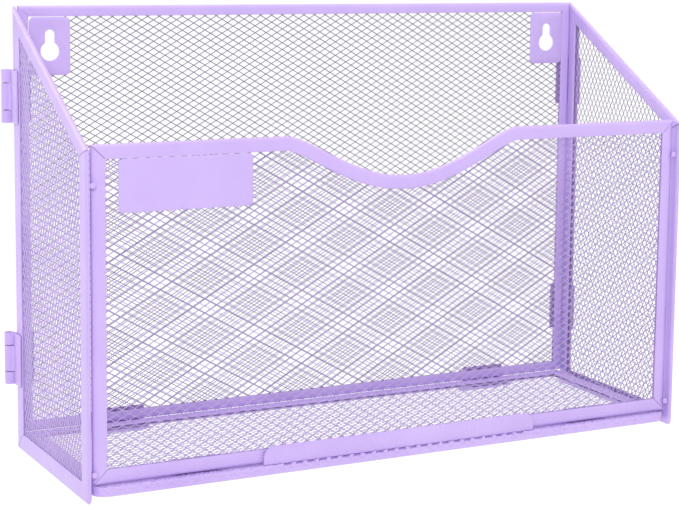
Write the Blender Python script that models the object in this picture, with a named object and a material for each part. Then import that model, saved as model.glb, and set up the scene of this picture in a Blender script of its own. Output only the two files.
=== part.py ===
"""Hanging file rack: a wall pocket that folds flat, made of expanded-metal mesh held in folded strips of sheet steel.

A back, two side panels, a tray and a front are joined by butt hinges. The side panels swing outwards, right round
behind the back. The tray drops, while the front stays upright and comes to lie against it.

Rack coordinates, before the last shift: X to the right seen from the front, Y towards the wall, with Y = 0 on the
back's rear face, and Z up from the side panels' lower edges. The shift puts the origin on the rear face of the back's
top strip, at its middle.
"""

import bpy
import bmesh
from math import asin, cos, hypot, pi, sin, tau
from mathutils import Matrix, Vector

# Overall sizes
WIDTH = 0.330  # over the side panels
HEIGHT = 0.224
DEPTH = 0.109  # rear face to the side panels' front edges
SIDE_FRONT_HEIGHT = 0.1645  # where the sloping edge of a side panel ends

# Sheet metal
STRIP_THICK = 0.0022  # a strip folded over the mesh, both walls and the slot
SLOT_THICK = 0.0010
FOLD_WEB = 0.0010  # from a strip's outer edge to the bottom of its slot
FOLD_ROUND = 0.0006
MESH_THICK = 0.0004
SEAT_GAP = 0.0003  # between pieces that touch
SEAM_GAP = 0.0004  # between two strips at a corner, along the strip
RUN_GAP = 0.0010  # between pieces that pass each other

# Widths of the strips
BACK_STRIP = 0.0052
SIDE_STRIP = 0.0093
SLOPE_STRIP = 0.0080
SIDE_BOTTOM_STRIP = 0.0088
FRONT_STRIP = 0.0069
TRAY_STRIP = 0.0080
SIDE_CORNER_ROUND = 0.0025

# Front panel
FRONT_SETBACK = 0.0027  # behind the side panels' front edges
FRONT_HEIGHT = 0.1664
DIP_DEPTH = 0.0216
DIP_HALF_WIDTH = 0.0640
DIP_SHAPE = 1.55  # larger is narrower at the bottom
DIP_STEPS = 32

# Tray
TRAY_EDGE_DEPTH = 0.0130  # its front edge strip, front to back
TRAY_EDGE_THICK = 0.0050
TRAY_EDGE_WALL = 0.0006
TRAY_EDGE_ROUND = 0.0012
TRAY_EDGE_REACH = 0.0010  # in front of the side panels
TRAY_CORNER_ROUND = 0.0080
LIP_WIDTH = 0.1530
LIP_TOP = 0.0168
LIP_THICK = 0.0008
LIP_ROUND = 0.0060
LIP_CLEAR = 0.0010  # in front of the front panel

# Fittings
KEYHOLE_PLATE_WIDTH = 0.0210
KEYHOLE_PLATE_HEIGHT = 0.0290
KEYHOLE_PLATE_THICK = 0.0008
KEYHOLE_PLATE_ROUND = 0.0025
KEYHOLE_SLOT_WIDTH = 0.0050
KEYHOLE_ROUND = 0.0096
KEYHOLE_HEIGHT = 0.0156
KEYHOLE_DROP = 0.0062  # plate's top edge to the slot's top
MESH_HOLE_MARGIN = 0.0030  # the mesh is cut away behind a plate, up to this from the plate's edges
LABEL_WIDTH = 0.0665
LABEL_HEIGHT = 0.0247
LABEL_THICK = 0.0005
LABEL_ROUND = 0.0012
LABEL_INSET = 0.0062  # from the front's left strip
CATCH_WIDTH = 0.0040
CATCH_HEIGHT = 0.0040
CATCH_THICK = 0.0008
CATCH_CLEAR = 0.0007
CATCH_HEIGHTS = {"upper": 0.1480, "lower": 0.0135}

# Hinges: leaf thickness, barrel radius, bore radius, pin radius, length, middle knuckle, leaf reach from the pin
SIDE_HINGE = dict(leaf=0.0008, barrel=0.0024, bore=0.0014, pin=0.0011, length=0.0264, middle=0.0130, reach=0.0120)
FRONT_HINGE = dict(leaf=0.0006, barrel=0.0016, bore=0.0010, pin=0.0007, length=0.0240, middle=0.0120, reach=0.0052)
SIDE_HINGE_HEIGHTS = {"upper": 0.1793, "lower": 0.0465}
TRAY_HINGE_SPREAD = 0.1100  # from the middle to each tray hinge
KNUCKLE_GAP = 0.0003
LEAF_ROUND = 0.0015
BARREL_SEGMENTS = 20
PIN_SEGMENTS = 12
FLAT_ANGLE = 0.001  # faces that meet at less are one face

LAVENDER = (0.560, 0.420, 0.870, 1.0)
ZINC = (0.540, 0.420, 0.800, 1.0)

HINGE_OFFSET = SIDE_HINGE["barrel"] + SEAT_GAP  # from a pin's axis to the faces that its leaves lie on
FRONT_HINGE_OFFSET = FRONT_HINGE["barrel"] + SEAT_GAP
INNER_HALF = WIDTH / 2 - STRIP_THICK  # a side panel's inner face
BACK_HALF = INNER_HALF - SEAT_GAP
TRAY_HALF = INNER_HALF - RUN_GAP
FRONT_HALF = INNER_HALF - RUN_GAP - SEAT_GAP
TRAY_UNDERSIDE = 2 * SIDE_HINGE["barrel"] + 2 * SEAT_GAP + SEAT_GAP
TRAY_TOP = TRAY_UNDERSIDE + STRIP_THICK
BACK_BOTTOM = TRAY_TOP + SEAT_GAP
FRONT_BOTTOM = TRAY_TOP + SEAT_GAP
FRONT_FACE = -DEPTH + FRONT_SETBACK
FRONT_REAR = FRONT_FACE + STRIP_THICK
ORIGIN_HEIGHT = HEIGHT - BACK_STRIP / 2

SIDE_AXIS = Vector((WIDTH / 2 + HINGE_OFFSET, HINGE_OFFSET, 0))
TRAY_AXIS = Vector((0, HINGE_OFFSET, TRAY_UNDERSIDE - HINGE_OFFSET))
FRONT_AXIS = Vector((0, FRONT_REAR + FRONT_HINGE_OFFSET, TRAY_TOP + FRONT_HINGE_OFFSET))


# ---- outlines: lists of (u, v) points, counter-clockwise ----

def unit(a, b):
    length = hypot(b[0] - a[0], b[1] - a[1])
    return ((b[0] - a[0]) / length, (b[1] - a[1]) / length)


def shifted(a, b, distance):
    """The line from a to b, moved to its left."""
    du, dv = unit(a, b)
    return ((a[0] - dv * distance, a[1] + du * distance), (b[0] - dv * distance, b[1] + du * distance))


def crossing(first, second):
    (x1, y1), (x2, y2) = first
    (x3, y3), (x4, y4) = second
    det = (x1 - x2) * (y3 - y4) - (y1 - y2) * (x3 - x4)
    a, b = x1 * y2 - y1 * x2, x3 * y4 - y3 * x4
    return ((a * (x3 - x4) - (x1 - x2) * b) / det, (a * (y3 - y4) - (y1 - y2) * b) / det)


def inset(edges, distances):
    """Each edge's path, moved inwards by its distance and cut at the corners. An edge is a path of two or more points, and each starts where the last one ends."""
    lines = []
    for path, distance in zip(edges, distances):
        lines.append([shifted(a, b, distance) for a, b in zip(path, path[1:])])
    moved = []
    for i, pieces in enumerate(lines):
        before, after = lines[i - 1][-1], lines[(i + 1) % len(lines)][0]
        path = [crossing(before, pieces[0])]
        path += [((p[1][0] + q[0][0]) / 2, (p[1][1] + q[0][1]) / 2) for p, q in zip(pieces, pieces[1:])]
        moved.append(path + [crossing(pieces[-1], after)])
    return moved


def closed(paths):
    return [point for path in paths for point in path[:-1]]


def arc(centre, radius, start, end, steps):
    return [
        (centre[0] + radius * cos(start + (end - start) * i / steps),
         centre[1] + radius * sin(start + (end - start) * i / steps))
        for i in range(steps + 1)
    ]


def rounded_box(u0, v0, u1, v1, radii, steps=4):
    """Radii from the lower left corner, counter-clockwise; a radius of 0 keeps the corner sharp."""
    points = []
    for (u, v), (su, sv), radius, start in zip(
        ((u0, v0), (u1, v0), (u1, v1), (u0, v1)), ((1, 1), (-1, 1), (-1, -1), (1, -1)), radii,
        (pi, 1.5 * pi, 0, 0.5 * pi)
    ):
        if radius:
            points += arc((u + su * radius, v + sv * radius), radius, start, start + pi / 2, steps)
        else:
            points.append((u, v))
    return points


# ---- solids ----

def outline_mesh(name, outline, thick, holes=()):
    """The outline as a plate of that thickness, evenly about its own plane."""
    curve = bpy.data.curves.new(name, "CURVE")
    curve.dimensions, curve.fill_mode, curve.extrude = "2D", "BOTH", thick / 2
    for loop in (outline, *holes):
        spline = curve.splines.new("POLY")
        spline.points.add(len(loop) - 1)
        for point, (u, v) in zip(spline.points, loop):
            point.co = (u, v, 0, 1)
        spline.use_cyclic_u = True
    flat = bpy.data.objects.new(name, curve)
    bpy.context.scene.collection.objects.link(flat)
    found = flat.evaluated_get(bpy.context.evaluated_depsgraph_get())
    mesh = bpy.data.meshes.new_from_object(found)
    bpy.data.objects.remove(flat)
    bpy.data.curves.remove(curve)
    mesh.name = name
    shape = bmesh.new()
    shape.from_mesh(mesh)
    bmesh.ops.remove_doubles(shape, verts=shape.verts, dist=1e-7)
    bmesh.ops.recalc_face_normals(shape, faces=shape.faces)
    shape.to_mesh(mesh)
    shape.free()
    return mesh


def round_edges(mesh, wanted, radius, segments=2):
    """Rounds the edges whose two ends make wanted(a, b) true."""
    shape = bmesh.new()
    shape.from_mesh(mesh)
    bmesh.ops.dissolve_limit(shape, angle_limit=FLAT_ANGLE, verts=shape.verts, edges=shape.edges)
    edges = [e for e in shape.edges if wanted(e.verts[0].co, e.verts[1].co)]
    bmesh.ops.bevel(shape, geom=edges, offset=radius, segments=segments, profile=0.5, affect="EDGES")
    shape.to_mesh(mesh)
    shape.free()


def move_mesh(mesh, matrix):
    """Moves the mesh by a matrix, which may mirror it."""
    mesh.transform(matrix)
    if matrix.determinant() < 0:
        mesh.flip_normals()


def cylinder_mesh(name, radius, length, segments):
    mesh = bpy.data.meshes.new(name)
    shape = bmesh.new()
    bmesh.ops.create_cone(
        shape, cap_ends=True, segments=segments, radius1=radius, radius2=radius, depth=length
    )
    shape.to_mesh(mesh)
    shape.free()
    return mesh


def box_mesh(name, low, high):
    mesh = bpy.data.meshes.new(name)
    shape = bmesh.new()
    size = [h - l for l, h in zip(low, high)]
    middle = [(h + l) / 2 for l, h in zip(low, high)]
    bmesh.ops.create_cube(shape, size=1, matrix=Matrix.Translation(middle) @ Matrix.Diagonal((*size, 1)))
    shape.to_mesh(mesh)
    shape.free()
    return mesh


def material(name, colour, roughness, metallic):
    made = bpy.data.materials.new(name)
    made.use_nodes = True
    shader = made.node_tree.nodes["Principled BSDF"]
    shader.inputs["Base Color"].default_value = colour
    shader.inputs["Roughness"].default_value = roughness
    shader.inputs["Metallic"].default_value = metallic
    return made


class Rack:
    """The collections, the materials and the empties that the pieces hang from."""

    def __init__(self):
        for old in list(bpy.data.objects):
            bpy.data.objects.remove(old)
        scene = bpy.context.scene
        self.parts = bpy.data.collections.new("hanging_file_rack")
        self.cutters = bpy.data.collections.new("cutters")
        scene.collection.children.link(self.parts)
        scene.collection.children.link(self.cutters)
        self.coat = material("powder_coat", LAVENDER, 0.42, 0.0)
        self.pin_coat = material("pin_steel", ZINC, 0.36, 0.3)
        self.root = self.pivot("rack_origin", Vector((0, 0, -ORIGIN_HEIGHT)), None)
        self.back = self.pivot("back_datum", Vector((0, 0, 0)), self.root)
        flip = Vector((-1, 1, 1))
        self.left = self.pivot("left_side_pivot", SIDE_AXIS * flip, self.root)
        self.right = self.pivot("right_side_pivot", SIDE_AXIS, self.root)
        self.tray = self.pivot("tray_pivot", TRAY_AXIS, self.root)
        self.front = self.pivot("front_pivot", FRONT_AXIS, self.root)

    def pivot(self, name, place, parent):
        empty = bpy.data.objects.new(name, None)
        empty.location, empty.parent = place, parent
        self.parts.objects.link(empty)
        return empty

    def add(self, name, mesh, pivot, coat=None):
        """Puts a mesh that is in rack coordinates on its pivot."""
        piece = bpy.data.objects.new(name, mesh)
        piece.parent = pivot
        piece.matrix_parent_inverse = Matrix.Translation(-pivot.location)
        mesh.materials.append(coat or self.coat)
        self.parts.objects.link(piece)
        return piece

    def shape_with(self, piece, mesh, operation):
        """Cuts a mesh in rack coordinates from the piece, or joins it on."""
        cutter = bpy.data.objects.new(mesh.name, mesh)
        cutter.parent, cutter.matrix_parent_inverse = piece.parent, piece.matrix_parent_inverse
        cutter.hide_render, cutter.display_type = True, "WIRE"
        self.cutters.objects.link(cutter)
        change = piece.modifiers.new(mesh.name, "BOOLEAN")
        change.operation, change.object, change.solver = operation, cutter, "EXACT"


# ---- panels: strips folded over the edges of a sheet of mesh ----

def strip(rack, name, path, line, inner, width, place, pivot):
    """One strip, with its slot. path is its outer edge, line the same edge with sharp corners, and inner its window side."""
    start, end = unit(line[0], line[1]), unit(line[-2], line[-1])
    outer, window = list(path), list(inner)
    for points in (outer, window):
        points[0] = (points[0][0] + start[0] * SEAM_GAP / 2, points[0][1] + start[1] * SEAM_GAP / 2)
        points[-1] = (points[-1][0] - end[0] * SEAM_GAP / 2, points[-1][1] - end[1] * SEAM_GAP / 2)
    mesh = outline_mesh(name, outer + window[::-1], STRIP_THICK)

    def on_outer_edge(a, b):
        flat = abs(a.z - b.z) < 1e-6
        return flat and all(any(hypot(p.x - u, p.y - v) < 1e-6 for u, v in outer) for p in (a, b))

    round_edges(mesh, on_outer_edge, FOLD_ROUND)
    move_mesh(mesh, place)
    piece = rack.add(name, mesh, pivot)
    near = slot_side(line, FOLD_WEB, 2 * width)
    far = slot_side(line, width + FOLD_WEB, 2 * width)
    slot = outline_mesh(name + "_slot", near + far[::-1], SLOT_THICK)
    move_mesh(slot, place)
    rack.shape_with(piece, slot, "DIFFERENCE")


def slot_side(path, distance, overrun):
    """The path moved inwards, and made longer at both ends."""
    start, end = unit(path[0], path[1]), unit(path[-2], path[-1])
    lines = [shifted(a, b, distance) for a, b in zip(path, path[1:])]
    first, last = lines[0][0], lines[-1][1]
    points = [(first[0] - start[0] * overrun, first[1] - start[1] * overrun)]
    points += [((p[1][0] + q[0][0]) / 2, (p[1][1] + q[0][1]) / 2) for p, q in zip(lines, lines[1:])]
    return points + [(last[0] + end[0] * overrun, last[1] + end[1] * overrun)]


def panel(rack, prefix, names, edges, widths, place, pivot, holes=(), outer=None, tuck=0):
    """The strips round a panel and its sheet of mesh. place takes the panel's plane to rack coordinates, and outer gives the outer edges where a corner is rounded. At an edge with no name, the sheet runs on by tuck into a strip made elsewhere."""
    windows = inset(edges, widths)
    for name, path, line, inner, width in zip(names, outer or edges, edges, windows, widths):
        if name:
            strip(rack, f"{prefix}_{name}_strip", path, line, inner, width, place, pivot)
    insets = [FOLD_WEB + SEAT_GAP if name else -tuck for name in names]
    mesh = outline_mesh(f"{prefix}_mesh", closed(inset(edges, insets)), MESH_THICK, holes)
    move_mesh(mesh, place)
    rack.add(f"{prefix}_mesh", mesh, pivot)


def upright(y):
    """The plane at y, with u along X and v along Z."""
    return Matrix(((1, 0, 0, 0), (0, 0, -1, y), (0, 1, 0, 0), (0, 0, 0, 1)))


def sideways(x):
    """The plane at x, with u from the rear face forwards and v along Z."""
    return Matrix(((0, 0, 1, x), (-1, 0, 0, 0), (0, 1, 0, 0), (0, 0, 0, 1)))


def level(z):
    """The plane at z, with u along X and v along Y."""
    return Matrix.Translation((0, 0, z))


def box_edges(u0, v0, u1, v1):
    corners = [(u0, v0), (u1, v0), (u1, v1), (u0, v1)]
    return [[a, b] for a, b in zip(corners, corners[1:] + corners[:1])]


def keyhole(u, top):
    """A slot that runs down into a round hole."""
    half, radius = KEYHOLE_SLOT_WIDTH / 2, KEYHOLE_ROUND / 2
    centre = top - KEYHOLE_HEIGHT + radius
    shoulder = asin(half / radius)
    slot = arc((u, top - half), half, 0, pi, 8)
    hole = arc((u, centre), radius, pi / 2 + shoulder, pi / 2 - shoulder + tau, 20)
    return slot + hole


def plate_box(side):
    """A keyhole plate's (u0, v0, u1, v1), in the upper corner of the back's window."""
    outer = BACK_HALF - BACK_STRIP - SEAT_GAP
    inner = outer - KEYHOLE_PLATE_WIDTH
    top = HEIGHT - BACK_STRIP - SEAT_GAP
    low, high = sorted((side * inner, side * outer))
    return low, top - KEYHOLE_PLATE_HEIGHT, high, top


def back_panel(rack):
    middle = -STRIP_THICK / 2
    edges = box_edges(-BACK_HALF, BACK_BOTTOM, BACK_HALF, HEIGHT)
    holes = []
    for side in (-1, 1):
        u0, v0, u1, v1 = plate_box(side)
        margin = MESH_HOLE_MARGIN
        holes.append(rounded_box(u0 + margin, v0 + margin, u1 - margin, v1 - margin, [margin] * 4))
    panel(rack, "back", ("bottom", "right", "top", "left"), edges, [BACK_STRIP] * 4, upright(middle), rack.back, holes)
    for side, word in ((-1, "left"), (1, "right")):
        u0, v0, u1, v1 = plate_box(side)
        name = f"{word}_keyhole_plate"
        hole = keyhole((u0 + u1) / 2, v1 - KEYHOLE_DROP)
        mesh = outline_mesh(
            name, rounded_box(u0, v0, u1, v1, [KEYHOLE_PLATE_ROUND] * 4), KEYHOLE_PLATE_THICK, [hole]
        )
        front = middle - MESH_THICK / 2 - SEAT_GAP - KEYHOLE_PLATE_THICK / 2
        move_mesh(mesh, upright(front))
        rack.add(name, mesh, rack.back)


def side_panel(rack, side, word, pivot):
    """A side panel, with its sloping upper edge and the catches that stop the front from coming forwards."""
    radius = SIDE_CORNER_ROUND
    bend = arc((DEPTH - radius, radius), radius, -pi / 2, 0, 6)
    foot, shoulder, peak = (DEPTH, 0), (DEPTH, SIDE_FRONT_HEIGHT), (0, HEIGHT)
    edges = [[(0, 0), foot], [foot, shoulder], [shoulder, peak], [peak, (0, 0)]]
    outer = [[(0, 0)] + bend[:4], bend[3:] + [shoulder], edges[2], edges[3]]
    widths = [SIDE_BOTTOM_STRIP, SIDE_STRIP, SLOPE_STRIP, SIDE_STRIP]
    place = sideways(side * (WIDTH / 2 - STRIP_THICK / 2))
    panel(rack, f"{word}_side", ("bottom", "front", "top", "rear"), edges, widths, place, pivot, outer=outer)
    for level_name, height in CATCH_HEIGHTS.items():
        name = f"{word}_{level_name}_catch"
        ends = side * (INNER_HALF - SEAT_GAP), side * (INNER_HALF - SEAT_GAP - CATCH_WIDTH)
        outline = rounded_box(
            min(ends), height - CATCH_HEIGHT / 2, max(ends), height + CATCH_HEIGHT / 2, [LABEL_ROUND] * 4
        )
        mesh = outline_mesh(name, outline, CATCH_THICK)
        move_mesh(mesh, upright(FRONT_FACE - CATCH_CLEAR - CATCH_THICK / 2))
        rack.add(name, mesh, pivot)


def dip_edge():
    """The front's upper edge, from right to left, with the hollow in its middle."""
    points = [(FRONT_HALF, FRONT_HEIGHT)]
    for i in range(DIP_STEPS + 1):
        share = 1 - 2 * i / DIP_STEPS
        drop = DIP_DEPTH * (1 - share * share) ** DIP_SHAPE
        points.append((share * DIP_HALF_WIDTH, FRONT_HEIGHT - drop))
    return points + [(-FRONT_HALF, FRONT_HEIGHT)]


def front_panel(rack):
    middle = (FRONT_FACE + FRONT_REAR) / 2
    top = dip_edge()
    low_left, low_right = (-FRONT_HALF, FRONT_BOTTOM), (FRONT_HALF, FRONT_BOTTOM)
    edges = [[low_left, low_right], [low_right, top[0]], top, [top[-1], low_left]]
    panel(rack, "front", ("bottom", "right", "top", "left"), edges, [FRONT_STRIP] * 4, upright(middle), rack.front)
    u0 = -FRONT_HALF + FRONT_STRIP + LABEL_INSET
    v1 = FRONT_HEIGHT - FRONT_STRIP - SEAT_GAP
    radii = [LABEL_ROUND] * 4
    mesh = outline_mesh("label_plate", rounded_box(u0, v1 - LABEL_HEIGHT, u0 + LABEL_WIDTH, v1, radii), LABEL_THICK)
    move_mesh(mesh, upright(middle - MESH_THICK / 2 - SEAT_GAP - LABEL_THICK / 2))
    rack.add("label_plate", mesh, rack.front)


def tray(rack):
    """The tray's mesh and strips. Its front edge strip is deeper, with a lip turned up in front of the front panel."""
    front = -DEPTH - TRAY_EDGE_REACH
    behind = front + TRAY_EDGE_DEPTH
    middle = TRAY_UNDERSIDE + STRIP_THICK / 2
    edges = box_edges(-TRAY_HALF, behind + SEAT_GAP, TRAY_HALF, 0)
    widths = [0, TRAY_STRIP, TRAY_STRIP, TRAY_STRIP]
    names = (None, "right", "rear", "left")
    panel(rack, "tray", names, edges, widths, level(middle), rack.tray, tuck=TRAY_STRIP / 2)
    radii = (TRAY_CORNER_ROUND, TRAY_CORNER_ROUND, 0, 0)
    outline = rounded_box(-TRAY_HALF, front, TRAY_HALF, behind, radii, 8)
    mesh = outline_mesh("tray_front_strip", outline, TRAY_EDGE_THICK)

    def on_front_edge(a, b):
        return abs(a.z - b.z) < 1e-6 and max(a.y, b.y) < behind - 1e-5

    round_edges(mesh, on_front_edge, TRAY_EDGE_ROUND, 3)
    move_mesh(mesh, level(TRAY_TOP - TRAY_EDGE_THICK / 2))
    piece = rack.add("tray_front_strip", mesh, rack.tray)
    wall = TRAY_EDGE_WALL
    radii = (TRAY_CORNER_ROUND - wall, TRAY_CORNER_ROUND - wall, 0, 0)
    outline = rounded_box(wall - TRAY_HALF, front + wall, TRAY_HALF - wall, behind + RUN_GAP, radii, 8)
    hollow = outline_mesh("tray_front_hollow", outline, TRAY_EDGE_THICK - 2 * wall)
    move_mesh(hollow, level(TRAY_TOP - TRAY_EDGE_THICK / 2))
    rack.shape_with(piece, hollow, "DIFFERENCE")
    radii = (0, 0, LIP_ROUND, LIP_ROUND)
    outline = rounded_box(-LIP_WIDTH / 2, TRAY_TOP - wall / 2, LIP_WIDTH / 2, LIP_TOP, radii, 6)
    lip = outline_mesh("tray_lip", outline, LIP_THICK)
    move_mesh(lip, upright(FRONT_FACE - LIP_CLEAR - LIP_THICK / 2))
    rack.shape_with(piece, lip, "UNION")


# ---- hinges ----

def leaf_outline(size):
    """A leaf seen along its pin, which is at the origin: a plate along +X that curls round the pin."""
    radius, thick = size["barrel"], size["leaf"]
    start = -asin((radius - thick) / radius)
    curl = arc((0, 0), radius, start, 1.5 * pi, BARREL_SEGMENTS)
    return curl + [(size["reach"], -radius), (size["reach"], thick - radius)]


def leaf_mesh(name, size):
    outline = leaf_outline(size)
    bore = arc((0, 0), size["bore"], 0, tau, PIN_SEGMENTS)[:-1]
    mesh = outline_mesh(name, outline, size["length"], [bore])

    def at_far_corner(a, b):
        at_end = min(a.x, b.x) > size["reach"] - 1e-6
        return at_end and abs(a.z - b.z) < 1e-6

    round_edges(mesh, at_far_corner, LEAF_ROUND, 3)
    return mesh


def hinge(rack, name, size, place, still, moving, inside=False):
    """Two leaves and a pin. In the hinge's frame the pin runs along Z and the still leaf lies along +X. The moving leaf lies along -Y, on an outside corner, or along +Y on an inside one."""
    way = 1 if inside else -1
    swap = Matrix(((0, way, 0, 0), (way, 0, 0, 0), (0, 0, 1, 0), (0, 0, 0, 1)))
    half, middle = size["length"] / 2, size["middle"] / 2
    clear = size["barrel"] + KNUCKLE_GAP
    ends = {
        "still_leaf": [(-middle - KNUCKLE_GAP, middle + KNUCKLE_GAP)],
        "moving_leaf": [(-2 * half, -middle), (middle, 2 * half)],
    }
    for kind, turn, pivot in (("still_leaf", Matrix.Identity(4), still), ("moving_leaf", swap, moving)):
        mesh = leaf_mesh(f"{name}_{kind}", size)
        move_mesh(mesh, place @ turn)
        piece = rack.add(f"{name}_{kind}", mesh, pivot)
        for number, (low, high) in enumerate(ends[kind]):
            notch = box_mesh(f"{name}_{kind}_notch_{number}", (-clear, -clear, low), (clear, clear, high))
            move_mesh(notch, place @ turn)
            rack.shape_with(piece, notch, "DIFFERENCE")
    pin = cylinder_mesh(f"{name}_pin", size["pin"], size["length"], PIN_SEGMENTS)
    move_mesh(pin, place)
    rack.add(f"{name}_pin", pin, still, rack.pin_coat)


def hinges(rack):
    mirror = Matrix.Diagonal((-1, 1, 1, 1))
    for side, word, pivot in ((-1, "left", rack.left), (1, "right", rack.right)):
        for level_name, height in SIDE_HINGE_HEIGHTS.items():
            place = Matrix.Translation((side * SIDE_AXIS.x, SIDE_AXIS.y, height))
            if side > 0:
                place = place @ mirror
            hinge(rack, f"{word}_{level_name}_hinge", SIDE_HINGE, place, rack.back, pivot)
    # In these frames the pin's Z runs along X, and the still leaf's +X runs up or, on the tray, to the rear
    to_back = Matrix(((0, 0, 1, 0), (0, 1, 0, 0), (1, 0, 0, 0), (0, 0, 0, 1)))
    to_tray = Matrix(((0, 0, 1, 0), (1, 0, 0, 0), (0, 1, 0, 0), (0, 0, 0, 1)))
    for side, word in ((-1, "left"), (1, "right")):
        spot = Matrix.Translation((side * TRAY_HINGE_SPREAD, 0, 0))
        hinge(rack, f"{word}_tray_hinge", SIDE_HINGE, spot @ Matrix.Translation(TRAY_AXIS) @ to_back,
              rack.back, rack.tray)
        hinge(rack, f"{word}_front_hinge", FRONT_HINGE, spot @ Matrix.Translation(FRONT_AXIS) @ to_tray,
              rack.tray, rack.front, inside=True)


def main():
    rack = Rack()
    back_panel(rack)
    side_panel(rack, -1, "left", rack.left)
    side_panel(rack, 1, "right", rack.right)
    tray(rack)
    front_panel(rack)
    hinges(rack)


main()
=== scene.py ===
"""Looks for the hanging file rack: rounded folded strips, real expanded mesh, hinges, fittings and a powder coat."""

from math import asin, cos, hypot, pi, radians, sin, tau

import bmesh
import bpy
import numpy as np
from mathutils import Matrix, Vector


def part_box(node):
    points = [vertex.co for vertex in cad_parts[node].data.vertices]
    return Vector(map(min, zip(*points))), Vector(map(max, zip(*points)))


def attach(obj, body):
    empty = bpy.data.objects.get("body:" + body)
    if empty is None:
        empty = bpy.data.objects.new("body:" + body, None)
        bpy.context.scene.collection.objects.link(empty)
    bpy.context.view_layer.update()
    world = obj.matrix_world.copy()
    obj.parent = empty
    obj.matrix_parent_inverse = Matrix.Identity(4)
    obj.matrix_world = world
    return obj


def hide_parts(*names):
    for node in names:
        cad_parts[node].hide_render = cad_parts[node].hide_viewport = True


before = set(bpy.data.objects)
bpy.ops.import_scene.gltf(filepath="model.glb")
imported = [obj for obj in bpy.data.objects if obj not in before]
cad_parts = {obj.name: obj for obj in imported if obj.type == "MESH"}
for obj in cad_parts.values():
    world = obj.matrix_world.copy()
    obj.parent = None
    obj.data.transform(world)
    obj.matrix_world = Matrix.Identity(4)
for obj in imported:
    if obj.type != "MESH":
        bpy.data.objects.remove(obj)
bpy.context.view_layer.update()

# Lengths are in metres.

# Folded strips
STRIP_THICK = 0.0022  # over both walls
STRIP_WALL = 0.0006
FOLD_WEB = 0.0010  # from a strip's outer edge to the bottom of its slot
FOLD_NOSE = 0.0017  # how far in from a strip's outer edge its rounding ends
FULL_NOSE = 0.0036  # the same, on the front's upright strips
FULL_SWELL = 0.0014  # how far the front's upright strips swell out to the rear
SWELL_TAIL = ((0.0004, 0.92), (0.0010, 0.5))  # (distance past the nose, share of the swell that is left)
EDGE_SOFT = 0.00022  # rounding of a sheet's cut edge
WALL_PINCH = 0.00012  # how far a strip's walls close in on the mesh
PINCH_START = 0.7  # the share of a strip's width at which they do
SEAT_GAP = 0.0003  # between pieces that touch
SEAM_GAP = 0.0004  # between two strips at a corner
TIGHT_SEAM = 0.0001  # the same, on the back
SMOOTH_UNDER = 35  # degrees between two faces that are shaded as one

# Expanded mesh
LONG_PITCH = 0.00630
SHORT_PITCH = 0.00365
BOND_LONG = 0.00040  # half a bond's length, along the long way
BOND_SHORT = 0.00022  # half its width
MESH_SHEET = 0.00022
MESH_TILT = 0.00012  # how far a bond's two tips stand out of the sheet

# Back
BACK_REACH = 0.00015  # how much nearer to the side panels the rounded back comes
KEYHOLE_SLOT_WIDTH = 0.0050
KEYHOLE_ROUND = 0.0096
KEYHOLE_HEIGHT = 0.0156
KEYHOLE_DROP = 0.0062  # plate's top edge to the slot's top
PLATE_ROUND = 0.0025
PLATE_SOFT = 0.00025
PLATE_LAP = 0.0044  # how far a keyhole plate laps over the mesh's cut edge
CUT_RUN = 0.0020  # how far the cut in the mesh runs under the strips

# Side panels
SIDE_STRIPS = [0.0088, 0.0093, 0.0080, 0.0093]  # widths: bottom, front, top, rear
SIDE_INNER_WALL = 0.0072  # width of a side strip's wall on the rack's inside
SIDE_CORNER_ROUND = 0.0025
SIDE_WINDOW_ROUND = 0.0008
BEND_STEPS = 10
CATCH_REACH = 0.0027  # width and height of a catch
CATCH_ROUND = 0.0010

# Front
FRONT_STRIP = 0.0069
FRONT_SEAM = 0.0003
FRONT_MESH_SHIFT = (0.0011, 0.0007)  # from the panel's middle to a bond
DIP_DEPTH = 0.0216
DIP_HALF_WIDTH = 0.0640
DIP_SHAPE = 1.55  # larger is narrower at the bottom
DIP_STEPS = 64
LABEL_ROUND = 0.0021
LABEL_SOFT = 0.00010
LABEL_LIFT = 0.00014  # closes most of the gap under the top strip

# Tray
TRAY_STRIP = 0.008
TRAY_TUCK = 0.0002  # how far the mesh reaches into the front edge
RIM_ROUND = 0.008  # corners of the front edge, seen from above
RIM_SOFT = 0.0014  # rounding along it
RIM_STEP = 0.0006  # between two sections along it
RIM_BUMP = 0.00036
RIM_BUMPS_DEPTH = 0.004  # how far back over the rim's top the bumps run
LIP_HALF_WIDTH = 0.0765
LIP_THICK = 0.0008
LIP_ROUND = 0.006
LIP_SOFT = 0.0002
LIP_CLEAR = 0.001  # in front of the front panel
LIP_ROOT = 0.0003  # how far the lip starts below the rim's top
DASH_LENGTH = 0.0044
DASH_DEPTH = 0.0030  # behind the rim's front face
DASH_HEIGHTS = (-0.00115, 0.0006)  # lower and upper side, from the rim's top
DASH_FRONT = 0.001  # how far the cutters stand out in front
DASH_LEAN = 0.0005
DASH_SHIFT = 0.002

# Hinges
SIDE_HINGE = dict(leaf=0.0008, barrel=0.0024, bore=0.0014, pin=0.0011, length=0.0264, middle=0.0130, reach=0.0120)
FRONT_HINGE = dict(leaf=0.0006, barrel=0.0016, bore=0.0010, pin=0.0007, length=0.0240, middle=0.0120, reach=0.0052)
KNUCKLE_GAP = 0.0005
HINGE_SOFT = 0.00015
CURL_START = -0.15  # radians past +X, where the barrel's sheet ends
PIN_STEPS = 24
PIN_DOME = 0.4  # height of a pin's domed end, as a share of its radius

# Powder coat
LAVENDER = (0.545, 0.405, 0.795)
PEEL_SCALE = 900.0
PEEL_HEIGHT = 0.00012
DENT_SCALE = 170.0
DENT_HEIGHT = 0.0007
DRIFT_SCALE = 34.0
SPECK_SCALE = 2600.0
SPECK_SHARE = 0.35  # how much of the colour's drift is fine

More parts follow.
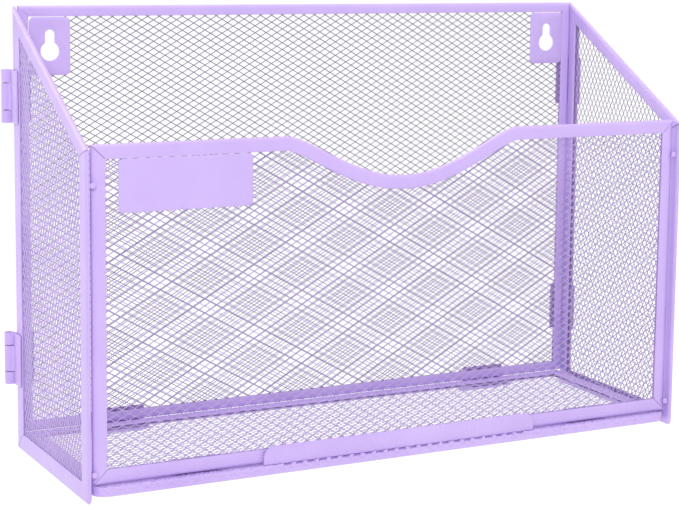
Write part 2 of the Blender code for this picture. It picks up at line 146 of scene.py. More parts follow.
# Stage and camera
WHITE = (1.0, 1.0, 1.0, 1)
FLOOR_Z = -0.42
LAMP_TARGET = (0, 0, -0.1)
CAMERA_PLACE = (-0.4387, -0.9122, 0.0442)
CAMERA_YAW, CAMERA_PITCH, CAMERA_ROLL = 29.02, 7.8, 0.93  # degrees
CAMERA_LENS = 99.755
CAMERA_SHIFT = (-0.12, -0.10)


# ---- outlines: lists of (u, v) points, counter-clockwise ----

def unit(a, b):
    length = hypot(b[0] - a[0], b[1] - a[1])
    return ((b[0] - a[0]) / length, (b[1] - a[1]) / length)


def shifted(a, b, distance):
    du, dv = unit(a, b)
    return ((a[0] - dv * distance, a[1] + du * distance), (b[0] - dv * distance, b[1] + du * distance))


def crossing(first, second):
    (x1, y1), (x2, y2) = first
    (x3, y3), (x4, y4) = second
    det = (x1 - x2) * (y3 - y4) - (y1 - y2) * (x3 - x4)
    a, b = x1 * y2 - y1 * x2, x3 * y4 - y3 * x4
    return ((a * (x3 - x4) - (x1 - x2) * b) / det, (a * (y3 - y4) - (y1 - y2) * b) / det)


def inset(edges, distances):
    """Each edge's path, moved inwards by its distance and cut at the corners."""
    lines = [[shifted(a, b, d) for a, b in zip(path, path[1:])] for path, d in zip(edges, distances)]
    moved = []
    for i, pieces in enumerate(lines):
        before, after = lines[i - 1][-1], lines[(i + 1) % len(lines)][0]
        path = [crossing(before, pieces[0])]
        path += [((p[1][0] + q[0][0]) / 2, (p[1][1] + q[0][1]) / 2) for p, q in zip(pieces, pieces[1:])]
        moved.append(path + [crossing(pieces[-1], after)])
    return moved


def closed(paths):
    return [point for path in paths for point in path[:-1]]


def trimmed(path, seam=SEAM_GAP):
    """The path with half a seam's gap taken off both ends."""
    path = list(path)
    start, end = unit(path[0], path[1]), unit(path[-2], path[-1])
    path[0] = (path[0][0] + start[0] * seam / 2, path[0][1] + start[1] * seam / 2)
    path[-1] = (path[-1][0] - end[0] * seam / 2, path[-1][1] - end[1] * seam / 2)
    return path


def arc(centre, radius, start, end, steps):
    return [
        (centre[0] + radius * cos(start + (end - start) * i / steps),
         centre[1] + radius * sin(start + (end - start) * i / steps))
        for i in range(steps + 1)
    ]


def rounded_box(u0, v0, u1, v1, radii, steps=8):
    points = []
    for (u, v), (su, sv), radius, start in zip(
        ((u0, v0), (u1, v0), (u1, v1), (u0, v1)), ((1, 1), (-1, 1), (-1, -1), (1, -1)), radii,
        (pi, 1.5 * pi, 0, 0.5 * pi)
    ):
        if radius:
            points += arc((u + su * radius, v + sv * radius), radius, start, start + pi / 2, steps)
        else:
            points.append((u, v))
    return points


def box_edges(u0, v0, u1, v1):
    corners = [(u0, v0), (u1, v0), (u1, v1), (u0, v1)]
    return [[a, b] for a, b in zip(corners, corners[1:] + corners[:1])]


def inside(points, outline):
    """Which of the points lie in the outline."""
    u, v = points[:, 0], points[:, 1]
    found = np.zeros(len(points), bool)
    for (u0, v0), (u1, v1) in zip(outline, outline[1:] + outline[:1]):
        if v0 != v1:
            found ^= ((v0 > v) != (v1 > v)) & (u < (u1 - u0) * (v - v0) / (v1 - v0) + u0)
    return found


# ---- places: where an outline's plane lies in the rack ----

def upright(y):
    """The plane at y, with u along X and v along Z."""
    return Matrix(((1, 0, 0, 0), (0, 0, -1, y), (0, 1, 0, 0), (0, 0, 0, 1)))


def sideways(x):
    """The plane at x, with u from the rear face forwards and v along Z."""
    return Matrix(((0, 0, 1, x), (-1, 0, 0, 0), (0, 1, 0, 0), (0, 0, 0, 1)))


def level(z):
    return Matrix.Translation((0, 0, z))


def low(name):
    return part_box(name)[0]


def high(name):
    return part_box(name)[1]


def span(name, axis):
    return high(name)[axis] - low(name)[axis]


def middle(name):
    return (low(name) + high(name)) / 2


# ---- meshes ----

def turn_outwards(mesh):
    shape = bmesh.new()
    shape.from_mesh(mesh)
    bmesh.ops.recalc_face_normals(shape, faces=shape.faces)
    shape.to_mesh(mesh)
    shape.free()


def shade_smooth(mesh):
    mesh.polygons.foreach_set("use_smooth", [True] * len(mesh.polygons))
    mesh.set_sharp_from_angle(angle=radians(SMOOTH_UNDER))


def add(name, mesh, place, body, nodes, coat, smooth=True):
    """Puts a mesh made in its own plane into the rack, where it rides on body and stands for CAD nodes."""
    mesh.transform(place)
    turn_outwards(mesh)
    if smooth:
        shade_smooth(mesh)
    mesh.materials.clear()
    mesh.materials.append(coat)
    piece = bpy.data.objects.new(name, mesh)
    bpy.context.scene.collection.objects.link(piece)
    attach(piece, body)
    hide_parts(*nodes)
    return piece


def reshape(piece, mesh, place, operation):
    """Cuts or joins another mesh, and leaves one plain mesh behind."""
    mesh.transform(place)
    turn_outwards(mesh)
    tool = bpy.data.objects.new("tool", mesh)
    bpy.context.scene.collection.objects.link(tool)
    change = piece.modifiers.new("change", "BOOLEAN")
    change.operation, change.object, change.solver = operation, tool, "EXACT"
    made = bpy.data.meshes.new_from_object(piece.evaluated_get(bpy.context.evaluated_depsgraph_get()))
    piece.modifiers.clear()
    piece.data = made
    bpy.data.objects.remove(tool)
    shade_smooth(made)


def raw_mesh(name, verts, faces):
    mesh = bpy.data.meshes.new(name)
    mesh.from_pydata(verts, [], faces)
    return mesh


def tube_mesh(name, verts, count):
    """A tube through rings of count points each, shut at both ends. Its faces are turned outwards later."""
    rings = len(verts) // count
    faces = []
    for ring in range(rings - 1):
        for j in range(count):
            k = (j + 1) % count
            faces.append((ring * count + j, ring * count + k, (ring + 1) * count + k, (ring + 1) * count + j))
    last = (rings - 1) * count
    faces += [tuple(range(count)), tuple(last + j for j in reversed(range(count)))]
    return raw_mesh(name, verts, faces)


def plate_mesh(name, outline, thick, holes=(), soft=EDGE_SOFT):
    """A plate with softened edges, evenly about its own plane."""
    curve = bpy.data.curves.new(name, "CURVE")
    curve.dimensions, curve.fill_mode = "2D", "BOTH"
    curve.extrude, curve.bevel_depth, curve.bevel_resolution, curve.offset = thick / 2 - soft, soft, 2, -soft
    for loop in (outline, *holes):
        spline = curve.splines.new("POLY")
        spline.points.add(len(loop) - 1)
        for point, (u, v) in zip(spline.points, loop):
            point.co = (u, v, 0, 1)
        spline.use_cyclic_u = True
    flat = bpy.data.objects.new(name, curve)
    bpy.context.scene.collection.objects.link(flat)
    mesh = bpy.data.meshes.new_from_object(flat.evaluated_get(bpy.context.evaluated_depsgraph_get()))
    bpy.data.objects.remove(flat)
    bpy.data.curves.remove(curve)
    mesh.name = name
    shape = bmesh.new()
    shape.from_mesh(mesh)
    bmesh.ops.remove_doubles(shape, verts=shape.verts, dist=1e-6)
    shape.to_mesh(mesh)
    shape.free()
    return mesh


def box_mesh(near_corner, far_corner):
    mesh = bpy.data.meshes.new("notch")
    shape = bmesh.new()
    size = [b - a for a, b in zip(near_corner, far_corner)]
    centre = [(b + a) / 2 for a, b in zip(near_corner, far_corner)]
    bmesh.ops.create_cube(shape, size=1, matrix=Matrix.Translation(centre) @ Matrix.Diagonal((*size, 1)))
    shape.to_mesh(mesh)
    shape.free()
    return mesh


def fold_section(width, rear_width=None, swell=0.0, nose=FOLD_NOSE):
    """A strip's section, as (distance from the outer edge, height over the middle plane).

    The front wall has the full width. The rear wall may be narrower, and the fold may swell out at the rear.
    """
    rear_width = rear_width or width
    half, inner = STRIP_THICK / 2, STRIP_THICK / 2 - STRIP_WALL
    radius = half + swell / 2
    points = arc((width - EDGE_SOFT, half - WALL_PINCH - EDGE_SOFT), EDGE_SOFT, 0, pi / 2, 3)
    points += [(width * PINCH_START, half - WALL_PINCH / 4)]
    points += [(nose + nose * u / radius, v) for u, v in arc((0, half - radius), radius, pi / 2, 1.5 * pi, 18)]
    if swell:
        points += [(nose + past, -half - share * swell) for past, share in SWELL_TAIL]
    points += [(rear_width * PINCH_START, -half + WALL_PINCH / 4)]
    points += arc((rear_width - EDGE_SOFT, -half + WALL_PINCH + EDGE_SOFT), EDGE_SOFT, 1.5 * pi, tau, 3)
    points += [(rear_width, -half + WALL_PINCH + STRIP_WALL)]
    points += arc((FOLD_WEB + inner, 0), inner, 1.5 * pi, pi / 2, 6)
    return points + [(width, half - WALL_PINCH - STRIP_WALL)]


def strip(name, outer, inner, width, section, place, body, nodes=None):
    """The section carried along a strip, from each point of its outer path towards the same point of its inner path."""
    verts = []
    for (ou, ov), (iu, iv) in zip(outer, inner):
        for d, height in section:
            share = d / width
            verts.append((ou + (iu - ou) * share, ov + (iv - ov) * share, height))
    mesh = tube_mesh(name, verts, len(section))
    add(f"{name}_shell", mesh, place, body, nodes or [name], COAT)


# A bond's four tips, and the two that the strand towards each neighbour starts from
LEFT_TIP, LOW_TIP, RIGHT_TIP, HIGH_TIP = range(4)
STRANDS = {
    (-1, -1): (LEFT_TIP, LOW_TIP), (1, -1): (LOW_TIP, RIGHT_TIP),
    (1, 1): (RIGHT_TIP, HIGH_TIP), (-1, 1): (HIGH_TIP, LEFT_TIP),
}


def lattice_mesh(name, outline, holes=(), turned=False, shift=(0.0, 0.0), tilt=MESH_TILT):
    """Expanded mesh over the outline, with its long way upright if turned.

    Each bond is a small tilted plate, and each strand is a flat bar between two bonds.
    """
    us, vs = zip(*outline)
    least, most = (min(us), min(vs)), (max(us), max(vs))
    if turned:
        least, most = least[::-1], most[::-1]
    dp, dq = LONG_PITCH / 2, SHORT_PITCH / 2
    centre = ((least[0] + most[0]) / 2 + shift[0], (least[1] + most[1]) / 2 + shift[1])
    ni, nj = int((most[0] - least[0]) / 2 / dp) + 2, int((most[1] - least[1]) / 2 / dq) + 2
    i, j = np.meshgrid(np.arange(-ni, ni + 1), np.arange(-nj, nj + 1), indexing="ij")
    keep = (i + j) % 2 == 0
    i, j = i[keep], j[keep]
    spots = np.stack([centre[0] + i * dp, centre[1] + j * dq], 1)
    flat = spots[:, ::-1] if turned else spots
    good = inside(flat, outline)
    for hole in holes:
        good &= ~inside(flat, hole)
    spots = spots[good]
    keys = list(zip(i[good].tolist(), j[good].tolist()))
    index = {key: n for n, key in enumerate(keys)}

    tips = np.array([(-BOND_LONG, 0, 0), (0, -BOND_SHORT, tilt), (BOND_LONG, 0, 0), (0, BOND_SHORT, -tilt)])
    bonds = np.zeros((len(spots), 8, 3))
    for layer, z in ((0, MESH_SHEET / 2), (4, -MESH_SHEET / 2)):
        bonds[:, layer:layer + 4, :] = tips
        bonds[:, layer:layer + 4, :2] += spots[:, None, :]
        bonds[:, layer:layer + 4, 2] += z

    faces = []
    for n, (column, row) in enumerate(keys):
        base = 8 * n
        faces.append((base, base + 1, base + 2, base + 3))
        faces.append((base + 7, base + 6, base + 5, base + 4))
        for (across, up), (p, q) in STRANDS.items():
            other = index.get((column + across, row + up))
            if other is None:
                faces.append((base + p, base + p + 4, base + q + 4, base + q))
            elif across > 0:
                far_p, far_q = (8 * other + tip for tip in STRANDS[(-across, -up)])
                loop = (base + q, base + p, far_q, far_p)
                faces.append(loop)
                faces.append(tuple(x + 4 for x in reversed(loop)))
                for x, y in ((base + p, far_q), (far_p, base + q)):
                    faces.append((x, x + 4, y + 4, y))
    verts = bonds.reshape(-1, 3)
    if turned:
        verts = verts[:, [1, 0, 2]]
        faces = [tuple(reversed(face)) for face in faces]
    return raw_mesh(name, verts.tolist(), faces)


def add_lattice(prefix, mesh, place, body, coat):
    add(f"{prefix}_lattice", mesh, place, body, [f"{prefix}_mesh"], coat, smooth=False)


def panel(prefix, names, edges, widths, place, body, coat, holes=(), tuck=0.0, shift=(0.0, 0.0), seam=SEAM_GAP,
          full=(), tilt=MESH_TILT):
    """The strips round a panel and the mesh that they hold. An edge without a name has no strip."""
    windows = inset(edges, widths)
    for name, line, window, width in zip(names, edges, windows, widths):
        if name in full:
            section = fold_section(width, swell=FULL_SWELL, nose=FULL_NOSE)
        elif name:
            section = fold_section(width)
        else:
            continue
        strip(f"{prefix}_{name}_strip", trimmed(line, seam), trimmed(window, seam), width, section, place, body)
    outline = closed(inset(edges, [FOLD_WEB + SEAT_GAP if name else -tuck for name in names]))
    add_lattice(prefix, lattice_mesh(prefix, outline, holes, shift=shift, tilt=tilt), place, body, coat)


# ---- materials ----

def node(tree, kind, **values):
    made = tree.nodes.new(kind)
    for key, value in values.items():
        if key.startswith("in_"):
            made.inputs[key[3:].replace("_", " ")].default_value = value
        else:
            setattr(made, key, value)
    return made


def coat_material(name, colour, dark, light, roughness, bump, grain=PEEL_SCALE, metallic=0.0):
    """A satin powder coat: fine orange peel over shallow dents, and a slow drift of colour with fine specks."""
    made = bpy.data.materials.new(name)
    made.use_nodes = True
    tree = made.node_tree
    link = tree.links.new
    shader = tree.nodes["Principled BSDF"]
    shader.inputs["Metallic"].default_value = metallic
    shader.inputs["Specular IOR Level"].default_value = 0.5
    place = node(tree, "ShaderNodeTexCoord")

    def noise(scale, detail, fineness=0.5):
        texture = node(tree, "ShaderNodeTexNoise", in_Scale=scale, in_Detail=detail, in_Roughness=fineness)
        link(place.outputs["Object"], texture.inputs["Vector"])
        return texture.outputs["Fac"]

    peel, dents = noise(grain, 3.0, 0.55), noise(DENT_SCALE, 2.0)
    drift, speck = noise(DRIFT_SCALE, 4.0), noise(SPECK_SCALE, 2.0)

    slow = node(tree, "ShaderNodeMath", operation="MULTIPLY")
    slow.inputs[1].default_value = 1.0 - SPECK_SHARE
    link(drift, slow.inputs[0])
    mixed = node(tree, "ShaderNodeMath", operation="MULTIPLY_ADD")
    mixed.inputs[1].default_value = SPECK_SHARE
    link(speck, mixed.inputs[0])
    link(slow.outputs[0], mixed.inputs[2])
    ramp = node(tree, "ShaderNodeValToRGB")
    first, last = ramp.color_ramp.elements
    first.position, first.color = 0.32, (*dark, 1)
    last.position, last.color = 0.68, (*light, 1)
    ramp.color_ramp.elements.new(0.5).color = (*colour, 1)
    link(mixed.outputs[0], ramp.inputs["Fac"])
    link(ramp.outputs["Color"], shader.inputs["Base Color"])

    rough = node(tree, "ShaderNodeMapRange", in_From_Min=0.3, in_From_Max=0.7,
                 in_To_Min=roughness - 0.05, in_To_Max=roughness + 0.06)
    link(peel, rough.inputs["Value"])
    link(rough.outputs["Result"], shader.inputs["Roughness"])

    relief = node(tree, "ShaderNodeBump", in_Strength=bump, in_Distance=PEEL_HEIGHT)
    link(peel, relief.inputs["Height"])
    dented = node(tree, "ShaderNodeBump", in_Strength=0.30, in_Distance=DENT_HEIGHT)
    link(dents, dented.inputs["Height"])
    link(relief.outputs["Normal"], dented.inputs["Normal"])
    link(dented.outputs["Normal"], shader.inputs["Normal"])
    return made


# The mesh strands carry the same lavender coat as the frame. These darker copies of it are painted shade.
def shaded_mesh_coat(word, colour, dark, light):
    return coat_material(f"shaded_mesh_coat_{word}", colour, dark, light, roughness=0.45, bump=0.2)


COAT = coat_material("lavender_coat", LAVENDER, (0.518, 0.378, 0.772), (0.578, 0.436, 0.820),
                     roughness=0.38, bump=0.35)
RIM_COAT = coat_material("rim_coat", LAVENDER, (0.505, 0.365, 0.760), (0.590, 0.450, 0.830),
                         roughness=0.24, bump=0.9, grain=700.0)
HINGE_COAT = coat_material("hinge_coat_soft", LAVENDER, (0.512, 0.372, 0.768), (0.576, 0.434, 0.818),
                           roughness=0.36, bump=0.25)
PIN_COAT = coat_material("pin_coat", (0.50, 0.38, 0.78), (0.44, 0.33, 0.70), (0.58, 0.46, 0.84),
                         roughness=0.34, bump=0.2, metallic=0.3)
# Back strands: the lavender coat darkened the most, as painted shade.
BACK_MESH_SHADE_COAT = shaded_mesh_coat("back", (0.180, 0.140, 0.250), (0.160, 0.125, 0.225), (0.205, 0.160, 0.280))
# Front and tray strands: the lavender coat darkened less, as painted shade.
MESH_SHADE_COAT = shaded_mesh_coat("fine", (0.380, 0.290, 0.560), (0.350, 0.265, 0.525), (0.420, 0.325, 0.610))
# Side strands: painted light and shade on one coat. The left copy is lighter, as if lit from the left, and the right
# copy is darker, as if in shade.
SIDE_MESH_SHADE_COATS = {
    "left": shaded_mesh_coat("left", (0.450, 0.345, 0.640), (0.415, 0.315, 0.600), (0.490, 0.380, 0.680)),
    "right": shaded_mesh_coat("right", (0.230, 0.180, 0.330), (0.205, 0.160, 0.300), (0.260, 0.205, 0.365)),
}


# ---- the back ----

def keyhole(u, top):
    """A slot that runs down into a round hole."""
    half, radius = KEYHOLE_SLOT_WIDTH / 2, KEYHOLE_ROUND / 2
    centre = top - KEYHOLE_HEIGHT + radius
    shoulder = asin(half / radius)
    slot = arc((u, top - half), half, 0, pi, 16)
    return slot + arc((u, centre), radius, pi / 2 + shoulder, pi / 2 - shoulder + tau, 40)


def back():
    edges = box_edges(low("back_left_strip").x - BACK_REACH, low("back_bottom_strip").z,
                      high("back_right_strip").x + BACK_REACH, high("back_top_strip").z)
    widths = [span("back_bottom_strip", 2), span("back_right_strip", 0) + BACK_REACH,
              span("back_top_strip", 2), span("back_left_strip", 0) + BACK_REACH]
    holes = []
    for word in ("left", "right"):
        name = f"{word}_keyhole_plate"
        a, b = low(name), high(name)
        u0, u1 = (a.x - CUT_RUN, b.x - PLATE_LAP) if word == "left" else (a.x + PLATE_LAP, b.x + CUT_RUN)
        v0, v1 = a.z + PLATE_LAP, b.z + CUT_RUN
        holes.append([(u0, v0), (u1, v0), (u1, v1), (u0, v1)])
        mesh = plate_mesh(name, rounded_box(a.x, a.z, b.x, b.z, [PLATE_ROUND] * 4), b.y - a.y,
                          [keyhole((a.x + b.x) / 2, b.z - KEYHOLE_DROP)], soft=PLATE_SOFT)
        add(f"{name}_soft", mesh, upright((a.y + b.y) / 2), "back", [name], COAT)
    panel("back", ("bottom", "right", "top", "left"), edges, widths, upright(middle("back_mesh").y), "back",
          BACK_MESH_SHADE_COAT, holes, seam=TIGHT_SEAM, tilt=-MESH_TILT)


# ---- the side panels ----

def slope_front_height():
    """Where a side panel's sloping edge meets its front edge, from the front strip's highest corner."""
    found = [v.co.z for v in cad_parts["left_side_front_strip"].data.vertices]
    return max(found) + SEAM_GAP / 2


def side(word, slope_z):
    """A side panel. Its bottom and front strips are one piece, folded round the front corner."""
    sign = -1 if word == "left" else 1
    body = f"{word}_side"
    plane = sideways(middle(f"{body}_mesh").x)
    rear, foot_z = -high(f"{body}_rear_strip").y, low(f"{body}_bottom_strip").z
    front_u, peak = -low(f"{body}_front_strip").y, high(f"{body}_top_strip").z
    heel, foot, shoulder, top = (rear, foot_z), (front_u, foot_z), (front_u, slope_z), (rear, peak)
    edges = [[heel, foot], [foot, shoulder], [shoulder, top], [top, heel]]
    windows = inset(edges, SIDE_STRIPS)

    def section(width):
        """The wall of full width is on the rack's outside."""
        points = fold_section(width, min(width, SIDE_INNER_WALL))
        return [(d, sign * z) for d, z in points]

    for index, name in ((2, "top"), (3, "rear")):
        width = SIDE_STRIPS[index]
        strip(f"{body}_{name}_strip", trimmed(edges[index]), trimmed(windows[index]), width, section(width),
              plane, body)
    bend = arc((front_u - SIDE_CORNER_ROUND, foot_z + SIDE_CORNER_ROUND), SIDE_CORNER_ROUND, -pi / 2, 0, BEND_STEPS)
    corner = windows[0][-1]
    inner_bend = arc((corner[0] - SIDE_WINDOW_ROUND, corner[1] + SIDE_WINDOW_ROUND), SIDE_WINDOW_ROUND,
                     -pi / 2, 0, BEND_STEPS)
    width = SIDE_STRIPS[1]
    strip(f"{body}_foot_and_front", trimmed([heel] + bend + [shoulder]),
          trimmed([windows[0][0]] + inner_bend + [windows[1][-1]]), width, section(width), plane, body,
          [f"{body}_bottom_strip", f"{body}_front_strip"])
    outline = closed(inset(edges, [FOLD_WEB + SEAT_GAP] * 4))
    add_lattice(body, lattice_mesh(body, outline, turned=True, tilt=sign * MESH_TILT), plane, body,
                SIDE_MESH_SHADE_COATS[word])
    for height in ("upper", "lower"):
        name = f"{word}_{height}_catch"
        a, b = low(name), high(name)
        u0, u1 = (a.x, a.x + CATCH_REACH) if sign < 0 else (b.x - CATCH_REACH, b.x)
        v0, v1 = (a.z + b.z - CATCH_REACH) / 2, (a.z + b.z + CATCH_REACH) / 2
        mesh = plate_mesh(name, rounded_box(u0, v0, u1, v1, [CATCH_ROUND] * 4), b.y - a.y)
        add(f"{name}_soft", mesh, upright((a.y + b.y) / 2), body, [name], COAT)


# ---- the front ----

def front():
    left_x, right_x = low("front_left_strip").x, high("front_right_strip").x
    bottom_z, top_z = low("front_bottom_strip").z, high("front_top_strip").z
    points = [(right_x, top_z)]
    for i in range(DIP_STEPS + 1):
        share = 1 - 2 * i / DIP_STEPS
        points.append((share * DIP_HALF_WIDTH, top_z - DIP_DEPTH * (1 - share * share) ** DIP_SHAPE))
    points.append((left_x, top_z))
    edges = [[(left_x, bottom_z), (right_x, bottom_z)], [(right_x, bottom_z), points[0]], points,
             [points[-1], (left_x, bottom_z)]]
    panel("front", ("bottom", "right", "top", "left"), edges, [FRONT_STRIP] * 4, upright(middle("front_mesh").y),
          "front_panel", MESH_SHADE_COAT, shift=FRONT_MESH_SHIFT, seam=FRONT_SEAM, full=("left", "right"))
    a, b = low("label_plate"), high("label_plate")
    outline = rounded_box(a.x, a.z, b.x, b.z + LABEL_LIFT, [LABEL_ROUND] * 4)
    mesh = plate_mesh("label", outline, b.y - a.y, soft=LABEL_SOFT)
    add("label_plate_soft", mesh, upright((a.y + b.y) / 2), "front_panel", ["label_plate"], COAT)


# ---- the tray ----

def tray():
    edge = "tray_front_strip"
    half, behind = high("tray_right_strip").x, low("tray_right_strip").y
    edges = box_edges(-half, behind, half, high("tray_rear_strip").y)
    panel("tray", (None, "right", "rear", "left"), edges, [0.0, TRAY_STRIP, TRAY_STRIP, TRAY_STRIP],
          level(middle("tray_mesh").z), "tray", MESH_SHADE_COAT, tuck=TRAY_TUCK)
    a, top = low(edge), high("tray_left_strip").z
    thick = top - a.z
    piece = add("tray_edge", rim_mesh(half, a.y, behind - SEAT_GAP, thick), level(top - thick / 2), "tray", [edge],
                RIM_COAT)
    reshape(piece, dashes_mesh(), Matrix.Translation((0, a.y, top)), "DIFFERENCE")
    outline = rounded_box(-LIP_HALF_WIDTH, top - LIP_ROOT, LIP_HALF_WIDTH, high(edge).z, (0, 0, LIP_ROUND, LIP_ROUND),
                          12)
    lip = plate_mesh("lip", outline, LIP_THICK, soft=LIP_SOFT)
    reshape(piece, lip, upright(low("front_left_strip").y - LIP_CLEAR - LIP_THICK / 2), "UNION")


def rim_wave(x, s):
    """Relief at x along the rim and s round its section: the mesh under the coat, and grain. It is never above 0."""
    diamonds = 0.6 * cos(tau * x / LONG_PITCH + 900 * s) * cos(tau * s / SHORT_PITCH)
    grain = 0.7 * sin(x * 2600 + 3 * sin(s * 900 + x * 310)) * sin(s * 2700 + x * 420)
    return diamonds + grain - 1.3


def rim_section(depth, thick):
    """The rim's section, as (distance behind its front face, height over its middle)."""
    soft = RIM_SOFT
    section = [(depth, -thick / 2)]
    section += [(4 * soft - t, -thick / 2) for t in np.linspace(0, 3 * soft, 5)[:-1]]
    section += arc((soft, soft - thick / 2), soft, 1.5 * pi, pi, 6)
    section += [(0.0, z) for z in np.linspace(soft - thick / 2, thick / 2 - soft, 6)[1:-1]]
    section += arc((soft, thick / 2 - soft), soft, pi, pi / 2, 6)
    section += [(soft + t, thick / 2) for t in np.linspace(0, RIM_BUMPS_DEPTH, 9)[1:]]
    return section + [(depth, thick / 2)]


def rim_mesh(half, front_y, rear_y, thick):
    """The tray's front edge, with the mesh that it's folded over showing through as rows of low bumps."""
    depth, soft = rear_y - front_y, RIM_SOFT
    section = rim_section(depth, thick)
    run = [0.0]
    for p, q in zip(section, section[1:]):
        run.append(run[-1] + hypot(q[0] - p[0], q[1] - p[1]))
    ends = [soft * (1 - cos(t)) for t in np.linspace(0, pi / 2, 5)] + list(np.linspace(soft, RIM_ROUND, 10)[1:])
    straight = np.arange(RIM_ROUND - half + RIM_STEP, half - RIM_ROUND, RIM_STEP).tolist()
    verts = []
    for x in [t - half for t in ends] + straight + [half - t for t in reversed(ends)]:
        gap = half - abs(x)
        back_off = RIM_ROUND - (RIM_ROUND ** 2 - max(RIM_ROUND - gap, 0) ** 2) ** 0.5
        thinner = soft - (soft ** 2 - max(soft - gap, 0) ** 2) ** 0.5
        for (d, z), s in zip(section, run):
            y = front_y + min(back_off + d, depth) if d < depth else rear_y
            rise = min(1.0, max(0.0, (z + thick / 2) / (thick / 2)))  # none on the underside
            lump = RIM_BUMP * (rise if d < 2 * RIM_BUMPS_DEPTH else 0.0) * rim_wave(x, s)
            share = max(soft - d, 0.0) / soft
            verts.append((x, y - lump * share, z * (1 - 2 * thinner / thick) + lump * (1 - share)))
    return tube_mesh("rim", verts, len(section))


def dashes_mesh():
    """Slots along the rim's upper front corner, below the lip, where the mesh's openings show."""
    verts, faces = [], []
    count = int(2 * (LIP_HALF_WIDTH - LIP_ROUND) / LONG_PITCH)
    for i in range(count):
        x = (i - (count - 1) / 2) * LONG_PITCH + DASH_SHIFT
        base = len(verts)
        for z, lean in zip(DASH_HEIGHTS, (-DASH_LEAN, DASH_LEAN)):
            u0, u1 = x - DASH_LENGTH / 2 + lean, x + DASH_LENGTH / 2 + lean
            verts += [(u0, -DASH_FRONT, z), (u1, -DASH_FRONT, z), (u1, DASH_DEPTH, z), (u0, DASH_DEPTH, z)]
        for quad in ((3, 2, 1, 0), (4, 5, 6, 7), (0, 1, 5, 4), (1, 2, 6, 5), (2, 3, 7, 6), (3, 0, 4, 7)):
            faces.append(tuple(base + q for q in quad))
    return raw_mesh("dashes", verts, faces)


# ---- hinges ----

def leaf_mesh(name, size):
    """A leaf seen along its pin: a plate along +X that curls round the pin, with the valley between them filled."""
    radius, thick = size["barrel"], size["leaf"]
    outline = arc((0, 0), radius, CURL_START, 1.5 * pi, 48)
    outline += [(size["reach"], -radius), (size["reach"], thick - radius)]
    outline += [(1.2 * radius, thick - radius), (1.08 * radius, 0.5 * thick - 0.6 * radius)]
    bore = arc((0, 0), size["bore"], 0, tau, 24)[:-1]
    return plate_mesh(name, outline, size["length"], [bore], soft=HINGE_SOFT)


def pin_mesh(size):
    """A pin with domed ends, thinner between the knuckles, so that the gaps there show as dark lines."""
    radius, half = size["pin"], size["length"] / 2
    dome = PIN_DOME * radius
    joint = size["middle"] / 2 + KNUCKLE_GAP / 2
    profile = [(radius, joint - KNUCKLE_GAP), (radius / 2, joint - KNUCKLE_GAP / 2),
               (radius / 2, joint + KNUCKLE_GAP / 2), (radius, joint + KNUCKLE_GAP)]
    profile += [(radius * cos(t), half - dome + dome * sin(t)) for t in (0, 0.4, 0.8, 1.2)]
    profile = [(r, -z) for r, z in reversed(profile)] + profile
    turns = [tau * k / PIN_STEPS for k in range(PIN_STEPS)]
    verts = [(r * cos(turn), r * sin(turn), z) for r, z in profile for turn in turns]
    return tube_mesh("pin", verts, PIN_STEPS)


def hinge(name, size, turn, still, moving, inside_corner=False):
    """Two leaves and a pin, about the CAD pin's middle.

    turn's Z runs along the pin, and the still leaf lies along its +X.
    """
    place = Matrix.Translation(middle(f"{name}_pin")) @ turn
    way = 1 if inside_corner else -1
    swap = Matrix(((0, way, 0, 0), (way, 0, 0, 0), (0, 0, 1, 0), (0, 0, 0, 1)))
    length, knuckle = size["length"], size["middle"] / 2
    clear = size["barrel"] + KNUCKLE_GAP
    notches = {"still_leaf": [(-knuckle - KNUCKLE_GAP, knuckle + KNUCKLE_GAP)],
               "moving_leaf": [(-length, -knuckle), (knuckle, length)]}
    for kind, way_round, body in (("still_leaf", Matrix.Identity(4), still), ("moving_leaf", swap, moving)):
        whole, spot = f"{name}_{kind}", place @ way_round
        piece = add(f"{whole}_soft", leaf_mesh(whole, size), spot, body, [whole], HINGE_COAT)
        for near, far in notches[kind]:
            reshape(piece, box_mesh((-clear, -clear, near), (clear, clear, far)), spot, "DIFFERENCE")
    add(f"{name}_pin_soft", pin_mesh(size), place, still, [f"{name}_pin"], PIN_COAT)


def hinges():
    mirror = Matrix.Diagonal((-1, 1, 1, 1))
    for word, turn in (("left", Matrix.Identity(4)), ("right", mirror)):
        for height in ("upper", "lower"):
            hinge(f"{word}_{height}_hinge", SIDE_HINGE, turn, "back", f"{word}_side")
    to_back = Matrix(((0, 0, 1, 0), (0, 1, 0, 0), (1, 0, 0, 0), (0, 0, 0, 1)))
    to_tray = Matrix(((0, 0, 1, 0), (1, 0, 0, 0), (0, 1, 0, 0), (0, 0, 0, 1)))
    for word in ("left", "right"):
        hinge(f"{word}_tray_hinge", SIDE_HINGE, to_back, "back", "tray")
        hinge(f"{word}_front_hinge", FRONT_HINGE, to_tray, "tray", "front_panel", inside_corner=True)


back()
slope_front_z = slope_front_height()
side("left", slope_front_z)
side("right", slope_front_z)
tray()
front()
hinges()


# ---- stage, light and camera ----

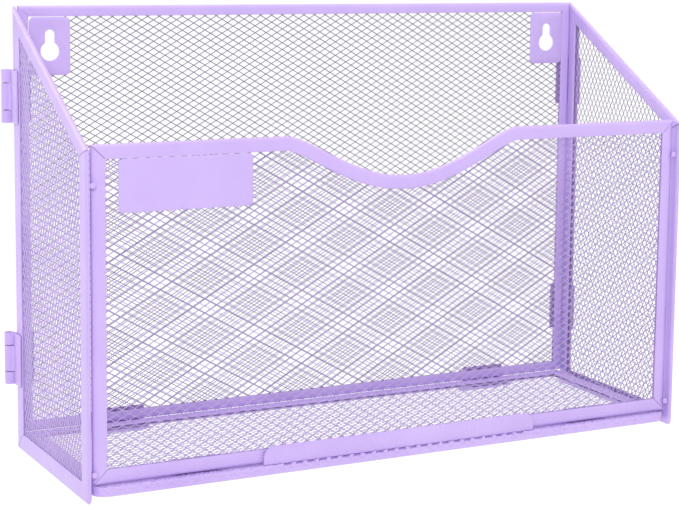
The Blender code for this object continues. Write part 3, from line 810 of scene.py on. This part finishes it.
def stage():
    """A pale floor, and a world that the camera sees as white and the rack as dim light from all round."""
    bpy.ops.mesh.primitive_plane_add(size=12, location=(0, 0, FLOOR_Z))
    floor = bpy.context.object
    floor.name = "floor"
    made = bpy.data.materials.new("pale_floor")
    made.use_nodes = True
    shader = made.node_tree.nodes["Principled BSDF"]
    shader.inputs["Base Color"].default_value = (0.12, 0.12, 0.12, 1)
    shader.inputs["Roughness"].default_value = 0.9
    shader.inputs["Specular IOR Level"].default_value = 0.1
    shader.inputs["Emission Color"].default_value = WHITE
    shader.inputs["Emission Strength"].default_value = 0.97
    floor.data.materials.append(made)
    world = bpy.data.worlds.new("studio")
    bpy.context.scene.world = world
    world.use_nodes = True
    tree = world.node_tree
    ambient = tree.nodes["Background"]
    ambient.inputs["Color"].default_value = WHITE
    ambient.inputs["Strength"].default_value = 0.24
    seen = node(tree, "ShaderNodeBackground", in_Color=WHITE, in_Strength=1.0)
    path, mix = node(tree, "ShaderNodeLightPath"), node(tree, "ShaderNodeMixShader")
    tree.links.new(path.outputs["Is Camera Ray"], mix.inputs["Fac"])
    tree.links.new(ambient.outputs[0], mix.inputs[1])
    tree.links.new(seen.outputs[0], mix.inputs[2])
    tree.links.new(mix.outputs[0], tree.nodes["World Output"].inputs["Surface"])


def lamp(name, place, size, power):
    light = bpy.data.lights.new(name, "AREA")
    light.shape, light.size, light.size_y = "RECTANGLE", size[0], size[1]
    light.energy = power
    made = bpy.data.objects.new(name, light)
    made.location = place
    made.rotation_euler = (Vector(LAMP_TARGET) - Vector(place)).to_track_quat("-Z", "Y").to_euler()
    bpy.context.scene.collection.objects.link(made)


def camera():
    """The camera stands in front and to the left, a little above the rack's middle, and rolls very slightly."""
    yaw, pitch, roll = radians(CAMERA_YAW), radians(CAMERA_PITCH), radians(CAMERA_ROLL)
    ahead = Vector((sin(yaw) * cos(pitch), cos(yaw) * cos(pitch), -sin(pitch)))
    right = Vector((cos(yaw), -sin(yaw), 0))
    up = right.cross(ahead)
    across = cos(roll) * right + sin(roll) * up
    upward = -sin(roll) * right + cos(roll) * up
    turn = Matrix((across, upward, -ahead)).transposed().to_4x4()
    data = bpy.data.cameras.new("camera")
    data.sensor_width = 36
    data.lens = CAMERA_LENS
    data.shift_x, data.shift_y = CAMERA_SHIFT
    data.clip_start, data.clip_end = 0.01, 50
    made = bpy.data.objects.new("camera", data)
    made.matrix_world = Matrix.Translation(CAMERA_PLACE) @ turn
    bpy.context.scene.collection.objects.link(made)
    bpy.context.scene.camera = made


stage()
lamp("key", (-1.1, -1.9, 1.1), (1.0, 1.0), 35)
lamp("fill", (1.5, -1.6, 0.5), (1.4, 1.4), 8)
lamp("top", (-0.1, -0.2, 1.9), (1.0, 0.8), 26)
lamp("right", (2.1, 0.5, 0.5), (1.2, 1.2), 14)
lamp("rear", (-1.6, 1.5, 0.5), (1.2, 1.4), 24)
camera()
bpy.context.scene.view_settings.view_transform = "Standard"
